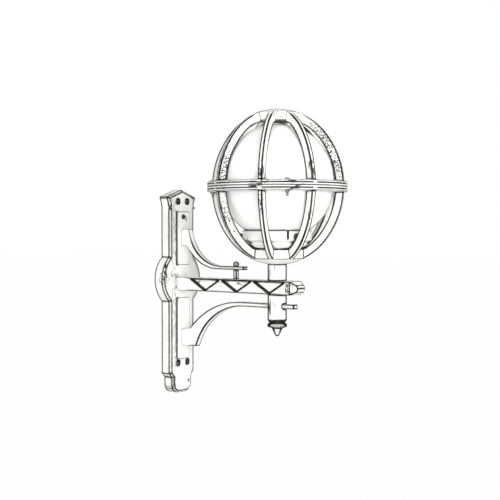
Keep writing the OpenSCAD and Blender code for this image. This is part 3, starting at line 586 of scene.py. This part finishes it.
class Palette:
    """The materials of this lamp, each built once."""

    def __init__(self) -> None:
        """Builds the materials."""

        def cast(name: str, **settings: object) -> bpy.types.Material:
            """Returns a paint in the lamp's pale colour."""
            return CastPaint(name, (0.86, 0.86, 0.85), 0.6, **settings).build()

        self.gallery_paint = cast("gallery_paint", edge=3.6 * MM, step_z=0.102)
        # painted shade: level strokes along the arm's side and upright strokes down its nose
        self.paint = cast("bracket_paint", wall_y=-0.05, spots=(
            *strokes(0.03, (-0.021, -0.10, 0.015), (-0.021, -0.16, 0.015), (-0.021, -0.22, 0.015)),
            *upright_shade_strokes(0.016, (-0.021, -0.353, 0.004), (-0.021, -0.353, -0.008)),
        ))
        # rim: painted shade where the knobs and posts turn away from the camera
        self.knob_paint = cast("knob_paint", rim=(0.16, 0.36))
        # painted shade: upright strokes down the post's left side
        self.post_paint = cast("post_paint", rim=(0.40, 0.60), spots=(
            *upright_shade_strokes(0.030, (-0.018, -0.294, 0.036), (-0.020, -0.298, -0.048)),
        ))
        left_edge = [(-0.057, -0.027, z) for z in (0.050, 0.040, 0.030, 0.021)]
        # painted shade: marks at the boss's left and dashed lines near the plate's left edge; the
        # small round marks are pits and painted shade
        self.plate_paint = cast(
            "plate_paint", edge=6.6 * MM, panel=(0.0225, -0.023, 0.182),
            scores=(-0.0368, -0.0308, -0.0262), spots=(
                *pits(0.026, (-0.060, -0.026, 0.008)),
                *upright_shade_strokes(0.014, *left_edge),
                *pits(0.011, (-0.039, -0.028, 0.0175), (-0.021, -0.028, 0.016),
                      (-0.022, -0.028, -0.009), (0.01, -0.028, 0.15), (0.02, -0.028, -0.235)),
            ),
        )
        # painted shade: marks and strokes down the left ribs and along the ring, with pits
        self.rib_paint = cast("rib_paint", shut=0.25, pits=0.6, patch=22.0, ring_z=RING_Z, spots=(
            *pits(0.08, (0.035, -0.44, 0.27), (0.04, -0.40, 0.32), (-0.140, -0.272, 0.265),
                  (-0.140, -0.272, 0.15)),
            *upright_shade_strokes(0.040, (-0.136, -0.367, 0.245), (-0.136, -0.367, 0.17), (-0.055, -0.445, 0.25),
                   (-0.055, -0.445, 0.15)),
            *strokes(0.034, (-0.150, -0.358, RING_Z), (-0.106, -0.430, RING_Z)),
            *pits(0.009, (-0.036, -0.342, 0.366), (-0.040, -0.336, 0.374), (-0.032, -0.348, 0.374)),
        ))
        self.steel = Metal("zinc_steel", (0.60, 0.60, 0.59), 0.38).build()
        self.dark_steel = Metal("old_steel", (0.34, 0.33, 0.32), 0.45).build()
        tarnish = (0.02, 0.019, 0.017)
        self.brass = Metal("dull_brass", (0.085, 0.078, 0.066), 0.5, film=tarnish).build()
        self.porcelain = Solid("porcelain", (0.86, 0.85, 0.80), 0.16, coat=0.5, mottle=0.04).build()
        self.rubber = Solid("seat_rubber", (0.045, 0.044, 0.043), 0.75, grain=900.0).build()
        self.opal = Opal("opal_glass", (0.97, 0.97, 0.965), 0.34).build()
        self.bulb_glass = ClearGlass("bulb_glass", (0.95, 0.95, 0.94), 0.12).build()
        self.cap = Metal("cap_metal", (0.72, 0.72, 0.71), 0.33, film=(0.3, 0.3, 0.29)).build()
        vitrite = (0.02, 0.02, 0.022)
        self.black_glass = Solid("black_glass", vitrite, 0.08, coat=0.6, mottle=0.2).build()
        self.filament = Metal("filament_wire", (0.32, 0.32, 0.33), 0.4).build()
        self.wire = Solid("black_insulation", (0.03, 0.03, 0.032), 0.5, grain=1200.0).build()


# ---------------------------------------------------------------------- meshes

ON_AXIS = 1e-6  # a smaller radius, in millimetres, is a point on the axis
SHARP = math.radians(42)  # faces that meet at more than this keep a crisp edge
THREAD_SIDES = 24
THREAD_ROWS = 5  # rows of points in one turn
THREAD_BELLY = 0.8  # below 1 the thread's flanks swell outwards


def lathe(profile: Profile, sides: int, radius: Optional[Turned] = None) -> Shape:
    """Turns a profile round the Z axis.

    Args:
        profile: points (radius, height) in millimetres, from the lower end to the upper.
        sides: number of sides round the axis.
        radius: optional function of angle, radius and height that returns the true radius.

    Returns:
        Vertices in millimetres, and faces. Ends at radius 0 close in a point.
    """
    points: list[Point] = []
    rings: list[list[int]] = []
    for r, z in profile:
        if r < ON_AXIS:
            rings.append([len(points)])
            points.append((0.0, 0.0, z))
            continue
        ring = []
        for k in range(sides):
            a = TAU * k / sides
            true_r = radius(a, r, z) if radius else r
            ring.append(len(points))
            points.append((true_r * math.cos(a), true_r * math.sin(a), z))
        rings.append(ring)
    faces: list[tuple[int, ...]] = []
    for low, high in zip(rings, rings[1:]):
        for k in range(sides):
            n = (k + 1) % sides
            if len(low) == 1 and len(high) > 1:
                faces.append((low[0], high[n], high[k]))
            elif len(high) == 1 and len(low) > 1:
                faces.append((low[k], low[n], high[0]))
            elif len(low) > 1:
                faces.append((low[k], low[n], high[n], high[k]))
    return points, faces


def rounded(profile: Profile, r: float, steps: int = 3) -> Profile:
    """Rounds the inner corners of an open profile with short arcs.

    Args:
        profile: the points of the profile.
        r: how far back from each corner the rounding starts, in millimetres.
        steps: number of points on each rounding beyond its first.

    Returns:
        The rounded profile.
    """
    made = [profile[0]]
    for before, corner, after in zip(profile, profile[1:], profile[2:]):
        c = Vector(corner)
        a, b = Vector(before) - c, Vector(after) - c
        back = min(r, a.length / 2, b.length / 2)
        start, end = c + a.normalized() * back, c + b.normalized() * back
        for k in range(steps + 1):
            t = k / steps
            p = start * (1 - t) ** 2 + c * 2 * t * (1 - t) + end * t * t
            made.append((p.x, p.y))
    made.append(profile[-1])
    return made


def thread(r: float, low: float, high: float, pitch: float, depth: float) -> Shape:
    """Makes a screw thread along Z, closed at both ends.

    Args:
        r: outer radius in millimetres.
        low: height of its lower end.
        high: height of its upper end.
        pitch: height of one turn.
        depth: depth of the thread.

    Returns:
        Vertices in millimetres, and faces.
    """
    rows = max(2, int((high - low) / (pitch / THREAD_ROWS)))
    heights = [low + (high - low) * k / rows for k in range(rows + 1)]
    core = r - depth
    profile = [(0.0, low), (core, low), *[(r, z) for z in heights[1:-1]], (core, high), (0.0, high)]

    def cut(angle: float, at: float, z: float) -> float:
        """Returns the thread's radius at an angle and height."""
        if at < r:
            return at
        phase = (z / pitch - angle / TAU) % 1.0
        ends = min(1.0, (z - low) / pitch, (high - z) / pitch)
        return core + depth * ends * (1 - abs(2 * phase - 1)) ** THREAD_BELLY

    return lathe(profile, THREAD_SIDES, cut)


def tube(path: Sequence[Vector], r: float, sides: int) -> Shape:
    """Sweeps a circle along a path.

    Args:
        path: the points of the centre line, in millimetres.
        r: radius in millimetres.
        sides: number of sides.

    Returns:
        Vertices in millimetres, and faces.
    """
    points: list[Point] = []
    faces: list[tuple[int, ...]] = []
    normal = Vector((0.31, 0.83, 0.46))  # any direction that no path takes
    for i, p in enumerate(path):
        ahead = path[min(i + 1, len(path) - 1)] - path[max(i - 1, 0)]
        ahead.normalize()
        normal = (normal - ahead * normal.dot(ahead)).normalized()
        other = ahead.cross(normal)
        for k in range(sides):
            a = TAU * k / sides
            points.append(tuple(p + r * (math.cos(a) * normal + math.sin(a) * other)))
        if i:
            for k in range(sides):
                n = (k + 1) % sides
                a, b = (i - 1) * sides, i * sides
                faces.append((a + k, a + n, b + n, b + k))
    faces.append(tuple(range(sides - 1, -1, -1)))
    faces.append(tuple(range(len(points) - sides, len(points))))
    return points, faces


@dataclass
class Piece:
    """One mesh object that is put together from several shapes."""

    name: str
    material: bpy.types.Material
    points: list[Point] = field(default_factory=list)
    faces: list[tuple[int, ...]] = field(default_factory=list)

    def put(self, shape: Shape, place: Matrix = Matrix()) -> "Piece":
        """Adds a shape.

        Args:
            shape: vertices in millimetres, and faces.
            place: where it goes, in millimetres in the row frame.

        Returns:
            The piece itself.
        """
        first = len(self.points)
        self.points += [tuple(place @ Vector(p)) for p in shape[0]]
        self.faces += [tuple(first + i for i in f) for f in shape[1]]
        return self

    def finish(self, body: Body, slot: Slot, *stands_for: str) -> bpy.types.Object:
        """Makes the object and ties it to the frame.

        Args:
            body: the body it rides on.
            slot: the record's material slot; not used.
            stands_for: the nodes that it replaces.

        Returns:
            The object.
        """
        mesh = bpy.data.meshes.new(self.name)
        mesh.from_pydata([tuple(c * MM for c in p) for p in self.points], [], self.faces)
        mesh.validate()
        mesh.polygons.foreach_set("use_smooth", [True] * len(mesh.polygons))
        mesh.set_sharp_from_angle(angle=SHARP)
        mesh.materials.append(self.material)
        made = shown(self.name, mesh)
        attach(made, body.value)
        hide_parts(*stands_for)
        LOG.info("%s rides on %s and stands for %s", self.name, body.value, ", ".join(stands_for))
        return made


def dress(material: bpy.types.Material, *nodes: str) -> None:
    """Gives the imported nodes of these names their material."""
    for name in nodes:
        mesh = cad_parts[name].data
        mesh.materials.clear()
        mesh.materials.append(material)
        LOG.info("%s keeps its shape, in %s", name, material.name)


def shown(name: str, data: bpy.types.ID) -> bpy.types.Object:
    """Returns a new object in the scene, with its mesh, light or camera."""
    made = bpy.data.objects.new(name, data)
    bpy.context.scene.collection.objects.link(made)
    return made


# --------------------------------------------------------------- sub-assemblies


@dataclass
class Bracket:
    """The wall plate, the arm with its braces, the post, and their screws, terminals and wires."""

    palette: Palette
    castings: tuple[str, ...] = ("arm", "upper_brace", "lower_brace", "brace_pillar")
    knobs: tuple[str, ...] = ("pillar_nut", "finial")
    posts: tuple[str, ...] = ("neck_tube", "lower_post")
    screws: tuple[str, ...] = (
        "arm_screws", "upper_brace_screws", "lower_brace_screws", "terminal_fixing", "stem_tube",
        "stem_nut", "coupling_nut", "tie_rod",
    )

    def build(self) -> None:
        """Dresses the bracket."""
        dress(self.palette.plate_paint, "wall_plate")
        dress(self.palette.paint, *self.castings)
        dress(self.palette.knob_paint, *self.knobs)
        dress(self.palette.post_paint, *self.posts)
        dress(self.palette.steel, *self.screws)
        dress(self.palette.brass, "earth_screw", "earth_washer", "terminal_clamps")
        dress(self.palette.porcelain, "terminal_block")
        dress(self.palette.wire, "wires")


@dataclass
class Cage:
    """The two halves of the ribbed ball, and the bolts that join them. Sizes in millimetres."""

    palette: Palette
    joint_z: float = 217.695
    gap: float = 0.3
    ring_h: float = 11.0
    bolt_circle: float = 142.0
    bolt_r: float = 3.0
    tail: float = 13.0
    pitch: float = 1.0
    thread_depth: float = 0.45
    head_r: float = 5.5
    head_rim: float = 0.4
    head_h: float = 2.85
    washer_bore: float = 3.1
    washer_r: float = 6.0
    washer_h: float = 1.2
    nut_h: float = 5.0
    nut_flats: float = 10.02

    def places(self, z: float) -> list[Matrix]:
        """Returns where the four bolts stand, at a height."""
        made = []
        for k in range(4):
            a = math.radians(45 + 90 * k)
            x, y = self.bolt_circle * math.cos(a), POST_Y + self.bolt_circle * math.sin(a)
            turned = Matrix.Rotation(a + 0.2 * k, 4, "Z")  # each tightened a little further
            made.append(Matrix.Translation((x, y, z)) @ turned)
        return made

    def bolts(self) -> None:
        """Builds the domed bolts, with their threads below the nuts."""
        piece = Piece("cage_bolts", self.palette.dark_steel)
        top = self.ring_h + self.washer_h
        under = -self.ring_h - self.gap
        smooth, bottom = under + 1, under - self.tail
        shank = [(0, smooth), (self.bolt_r, smooth), (self.bolt_r, top), (0, top)]
        rim = top + self.head_rim
        dome = [(0.0, top), (self.head_r - 0.2, top), (self.head_r, rim)]
        for a in map(math.radians, range(12, 91, 13)):
            dome.append((self.head_r * math.cos(a), rim + self.head_h * math.sin(a)))
        for place in self.places(self.joint_z + self.gap):
            piece.put(thread(self.bolt_r, bottom, smooth, self.pitch, self.thread_depth), place)
            piece.put(lathe(rounded(shank, 0.2), sides=32), place)
            piece.put(lathe(dome, sides=40), place)
        piece.finish(Body.CAGE_TOP, Slot.STEEL, "ring_bolts")

    def washers(self) -> None:
        """Builds the washers under the bolt heads."""
        piece = Piece("cage_washers", self.palette.steel)
        bore, r, h = self.washer_bore, self.washer_r, self.washer_h
        ring = rounded([(bore, h / 2), (bore, 0), (r, 0), (r, h), (bore, h), (bore, h / 2)], 0.25)
        for place in self.places(self.joint_z + self.gap + self.ring_h):
            piece.put(lathe(ring, sides=40), place)
        piece.finish(Body.CAGE_TOP, Slot.STEEL, "ring_washers")

    def nuts(self) -> None:
        """Builds the hexagon nuts, chamfered at both ends."""
        piece = Piece("cage_nuts", self.palette.dark_steel)
        h, flats, bore = self.nut_h, self.nut_flats / 2, self.bolt_r + 0.06
        corner = flats / math.cos(math.pi / 6)
        outside = [(bore, h / 2), (bore, 0.5), (bore + 0.5, 0), (flats - 0.3, 0), (corner, 0.9)]
        outside += [(r, h - z) for r, z in reversed(outside)]

        def hexagon(angle: float, r: float, z: float) -> float:
            """Returns the hexagon's radius, or the chamfer's where that is less."""
            a = (angle + math.pi / 6) % (math.pi / 3) - math.pi / 6
            return min(r, flats / math.cos(a)) if r > bore + 1 else r

        for place in self.places(self.joint_z - self.ring_h - h):
            piece.put(lathe(outside, sides=72, radius=hexagon), place)
        piece.finish(Body.BRACKET, Slot.STEEL, "ring_nuts")

    def build(self) -> None:
        """Dresses the cage's castings and builds its fasteners."""
        dress(self.palette.rib_paint, "lower_cage", "upper_cage")
        self.bolts()
        self.washers()
        self.nuts()


@dataclass
class Gallery:
    """The cup that holds the globe, with its three thumb screws. Sizes in millimetres."""

    palette: Palette
    thumb_z: float = 110.728
    first: float = -112.0  # the first screw's angle, in degrees
    tip: float = 64.3
    outside: float = 76.0
    shank_r: float = 2.5
    pitch: float = 0.8
    thread_depth: float = 0.35
    head_r: float = 6.0
    head_t: float = 5.0
    head_gap: float = 0.4
    ridges: int = 28
    ridge_h: float = 0.32

    def thumb_screw(self, k: int, body: Body) -> None:
        """Builds one knurled thumb screw.

        Args:
            k: its number, from 0.
            body: the body it rides on.
        """
        a = math.radians(self.first + 120 * k)
        outwards = Matrix.Rotation(a, 4, "Z") @ Matrix.Rotation(math.pi / 2, 4, "Y")
        place = Matrix.Translation((0, POST_Y, self.thumb_z)) @ outwards
        piece = Piece(f"thumb_screw_turned_{k + 1}", self.palette.brass)
        foot = self.outside + self.head_gap
        piece.put(thread(self.shank_r, self.tip, foot + 0.2, self.pitch, self.thread_depth), place)
        r, t = self.head_r, self.head_t
        corners = [(0, 0), (r - 1.4, 0), (r - 1.0, 0.9), (r - 0.2, 1.0), (r, 1.3), (r, t - 1.4),
                   (r - 0.4, t - 0.9), (r - 1.4, t - 0.6), (r - 2.0, t), (0, t - 0.25)]

        def knurl(angle: float, at: float, z: float) -> float:
            """Returns the radius of the straight knurl round the rim."""
            if at <= r - 0.5:
                return at
            return at - self.ridge_h * abs(math.sin(angle * self.ridges / 2))

        head = [(at, z + foot) for at, z in rounded(corners, r=0.25, steps=2)]
        piece.put(lathe(head, sides=6 * self.ridges, radius=knurl), place)
        piece.finish(body, Slot.BRASS, f"thumb_screw_{k + 1}")

    def build(self) -> None:
        """Dresses the gallery and builds its screws."""
        dress(self.palette.gallery_paint, "gallery")
        dress(self.palette.rubber, "globe_seat")
        for k, body in enumerate((Body.THUMB_1, Body.THUMB_2, Body.THUMB_3)):
            self.thumb_screw(k, body)


@dataclass
class Globe:
    """The opal glass globe, with an open neck and a lip. Sizes in millimetres."""

    palette: Palette
    centre_z: float = 228.695
    outside: float = 127.0
    glass: float = 4.0
    neck_r: float = 64.0
    shoulder: float = 3.0  # how far the ball's foot stands out from the neck, and above it
    lip: float = 6.0
    lip_h: float = 3.0
    base_z: float = 103.728
    rows: int = 64
    sides: int = 128

    def arc(self, r: float, foot: float) -> Profile:
        """Returns the ball's side at one radius, from its foot, off the axis, to its top."""
        low = -math.acos(foot / r)
        angles = [low + (math.pi / 2 - low) * k / self.rows for k in range(self.rows)]
        side = [(r * math.cos(a), self.centre_z + r * math.sin(a)) for a in angles]
        return [*side, (0.0, self.centre_z + r)]

    def build(self) -> None:
        """Builds the globe as one smooth blown shape."""
        neck_in = self.neck_r - self.glass
        shell = self.arc(self.outside, self.neck_r + self.shoulder)
        back = self.arc(self.outside - self.glass, neck_in + self.shoulder)[::-1]
        z, top, lip = self.base_z, self.base_z + self.lip_h, self.neck_r + self.lip
        middle = z + self.lip_h / 2
        foot = rounded([(neck_in, middle), (neck_in, z), (lip, z), (lip, top), (self.neck_r, top),
                        (self.neck_r, shell[0][1] - self.shoulder), shell[0]], r=1.2, steps=4)
        corner = (neck_in, back[-1][1] - self.shoulder)
        inside = rounded([back[-1], corner, (neck_in, middle)], r=2.0, steps=4)
        piece = Piece("globe_glass", self.palette.opal)
        place = Matrix.Translation((0, POST_Y, 0))
        piece.put(lathe(foot[:-1] + shell, self.sides), place)
        piece.put(lathe(back + inside[1:], self.sides), place)
        piece.finish(Body.BRACKET, Slot.OPAL, "glass_globe")


@dataclass
class LampHolder:
    """The porcelain lampholder with its brass parts."""

    palette: Palette

    def build(self) -> None:
        """Dresses the lampholder."""
        dress(self.palette.porcelain, "holder_body")
        dress(self.palette.brass, "holder_shell", "holder_contact")


@dataclass
class Bulb:
    """The screw-in bulb. Sizes in millimetres."""

    palette: Palette
    cap_z: float = 126.43
    cap_h: float = 23.0
    cap_r: float = 13.0
    cap_rows: int = 46
    cap_sheet: float = 0.6
    pitch: float = 3.6
    groove: float = 1.1
    ball_z: float = 196.03
    coil_half: float = 12.0
    coil_r: float = 0.7
    coil_turns: int = 30

    def cap(self) -> None:
        """Builds the rolled screw cap."""
        low, high, inner = self.cap_z, self.cap_z + self.cap_h, self.cap_r - self.cap_sheet
        rows = self.cap_rows
        wall = [(self.cap_r, low + self.cap_h * k / rows) for k in range(1, rows + 1)]
        painted_rim_shade = [(0.0, low), (self.cap_r - 1.6, low), *wall, (inner, high), (inner, high - 1.0)]

        def rolled(angle: float, at: float, z: float) -> float:
            """Returns the radius of the rolled thread."""
            if at < self.cap_r - 0.01:
                return at
            ends = min(1.0, (z - low) / 2, (high - 3 - z) / 2)
            wave = 0.5 - 0.5 * math.cos(TAU * (z / self.pitch - angle / TAU))
            return at - self.groove * max(0.0, ends) * wave

        piece = Piece("bulb_screw_cap", self.palette.cap)
        piece.put(lathe(painted_rim_shade, sides=64, radius=rolled), Matrix.Translation((0, POST_Y, 0)))
        piece.finish(Body.BULB, Slot.CAP, "bulb_cap")

    def coil(self) -> None:
        """Builds the coiled filament and its two leads."""
        piece = Piece("bulb_coil", self.palette.filament)
        z, foot = self.ball_z + 4, self.ball_z - 12
        points = 8 * self.coil_turns
        path = []
        for t in range(points + 1):
            y, up = self.coil_r * math.sin(TAU * t / 8), self.coil_r * math.cos(TAU * t / 8)
            path.append(Vector((self.coil_half * (2 * t / points - 1), POST_Y + y, z + up)))
        piece.put(tube(path, r=0.18, sides=5))
        for side in (-1, 1):
            bends = ((3, foot), (7, (foot + z) / 2 - 1), (self.coil_half, z))
            lead = [Vector((side * x, POST_Y, height)) for x, height in bends]
            piece.put(tube(lead, r=0.35, sides=8))
        piece.finish(Body.BULB, Slot.FILAMENT, "bulb_filament")

    def build(self) -> None:
        """Dresses the bulb and builds its cap and coil."""
        dress(self.palette.bulb_glass, "bulb_glass", "bulb_stem")
        dress(self.palette.cap, "bulb_contact")
        dress(self.palette.black_glass, "bulb_insulator")
        self.cap()
        self.coil()


# ----------------------------------------------------------------------- stage


@dataclass
class Lamp:
    """One soft studio light."""

    name: str
    place: Point
    size: float
    watts: float


@dataclass
class Studio:
    """A pale floor far below the lamp, a white background, soft light and the camera."""

    eye: Point = (-1.8572, -1.6817, 0.1301)
    heading: float = -51.986
    tilt: float = -1.255
    lens: float = 75.6
    aim: Point = (0.0, -0.2, 0.08)
    floor_z: float = -1.3
    floor_w: float = 80.0
    floor_white: float = 0.97  # how much of what the camera sees of the floor is plain white
    front: float = 1.6  # the background's strength as a light, from the camera's side
    back: float = 0.5
    lamps: tuple[Lamp, ...] = (
        Lamp("key_light", (-1.5, -2.7, 0.7), 2.2, 40.0),
        Lamp("low_light", (-1.5, -1.7, -1.0), 1.6, 18.0),
    )

    def world(self) -> None:
        """Makes a background that looks white, and as a light is bright in front, dim behind."""
        world = bpy.data.worlds.new("studio_air")
        world.use_nodes = True
        bpy.context.scene.world = world
        nodes = Nodes(world.node_tree)
        background = world.node_tree.nodes["Background"]
        background.inputs["Color"].default_value = (1, 1, 1, 1)
        way = nodes.add("TexCoord").outputs["Generated"]
        facing = nodes.measure("DOT_PRODUCT", way, Vector(self.eye).normalized())
        power = nodes.add("Mix", data_type="FLOAT")
        nodes.feed(power.inputs[0], nodes.seen())
        nodes.feed(power.inputs[2], nodes.ramp(facing, 0.0, 0.9, self.back, self.front))
        nodes.feed(power.inputs[3], 1.0)
        nodes.give(background, Strength=power.outputs[0])

    def floor(self) -> None:
        """Makes the wide pale floor."""
        mesh = bpy.data.meshes.new("floor")
        w = self.floor_w / 2
        corners = [(x, y, self.floor_z) for x, y in ((-w, -w), (w, -w), (w, w), (-w, w))]
        mesh.from_pydata(corners, [], [(0, 1, 2, 3)])
        floor = shown("floor", mesh)
        finish = Finish("pale_floor", (0.85, 0.85, 0.85), 0.9)
        material, nodes, shader = finish.start()
        nodes.give(shader, Base_Color=finish.colour, Roughness=finish.roughness)
        glow = nodes.add("Emission", Color=(1.0, 1.0, 1.0), Strength=1.0).outputs[0]
        share = nodes.math("MULTIPLY", nodes.seen(), self.floor_white)
        mixed = nodes.fill(nodes.add("MixShader"), share, shader.outputs[0], glow).outputs[0]
        nodes.give(material.node_tree.nodes["Material Output"], Surface=mixed)
        mesh.materials.append(material)

    def lights(self) -> None:
        """Makes the soft lights, all turned to the lamp's middle."""
        for lamp in self.lamps:
            data = bpy.data.lights.new(lamp.name, "AREA")
            data.shape = "DISK"
            data.size = lamp.size
            data.energy = lamp.watts
            light = shown(lamp.name, data)
            light.location = lamp.place
            beam = Vector(self.aim) - light.location
            light.rotation_euler = beam.to_track_quat("-Z", "Y").to_euler()

    def camera(self) -> None:
        """Makes the camera at the photograph's place."""
        data = bpy.data.cameras.new("camera")
        data.sensor_width = 36.0
        data.lens = self.lens
        data.clip_end = 100.0
        camera = shown("camera", data)
        camera.location = self.eye
        camera.rotation_euler = (math.radians(90 + self.tilt), 0.0, math.radians(self.heading))
        bpy.context.scene.camera = camera

    def build(self) -> None:
        """Builds the studio."""
        bpy.context.scene.view_settings.view_transform = "Standard"
        self.world()
        self.floor()
        self.lights()
        self.camera()


def main() -> None:
    """Builds the looks in order."""
    logging.basicConfig(level=logging.INFO, format="%(message)s")
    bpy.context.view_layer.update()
    palette = Palette()
    Studio().build()
    Bracket(palette).build()
    Cage(palette).build()
    Gallery(palette).build()
    Globe(palette).build()
    LampHolder(palette).build()
    Bulb(palette).build()


if __name__ == "__main__":
    main()
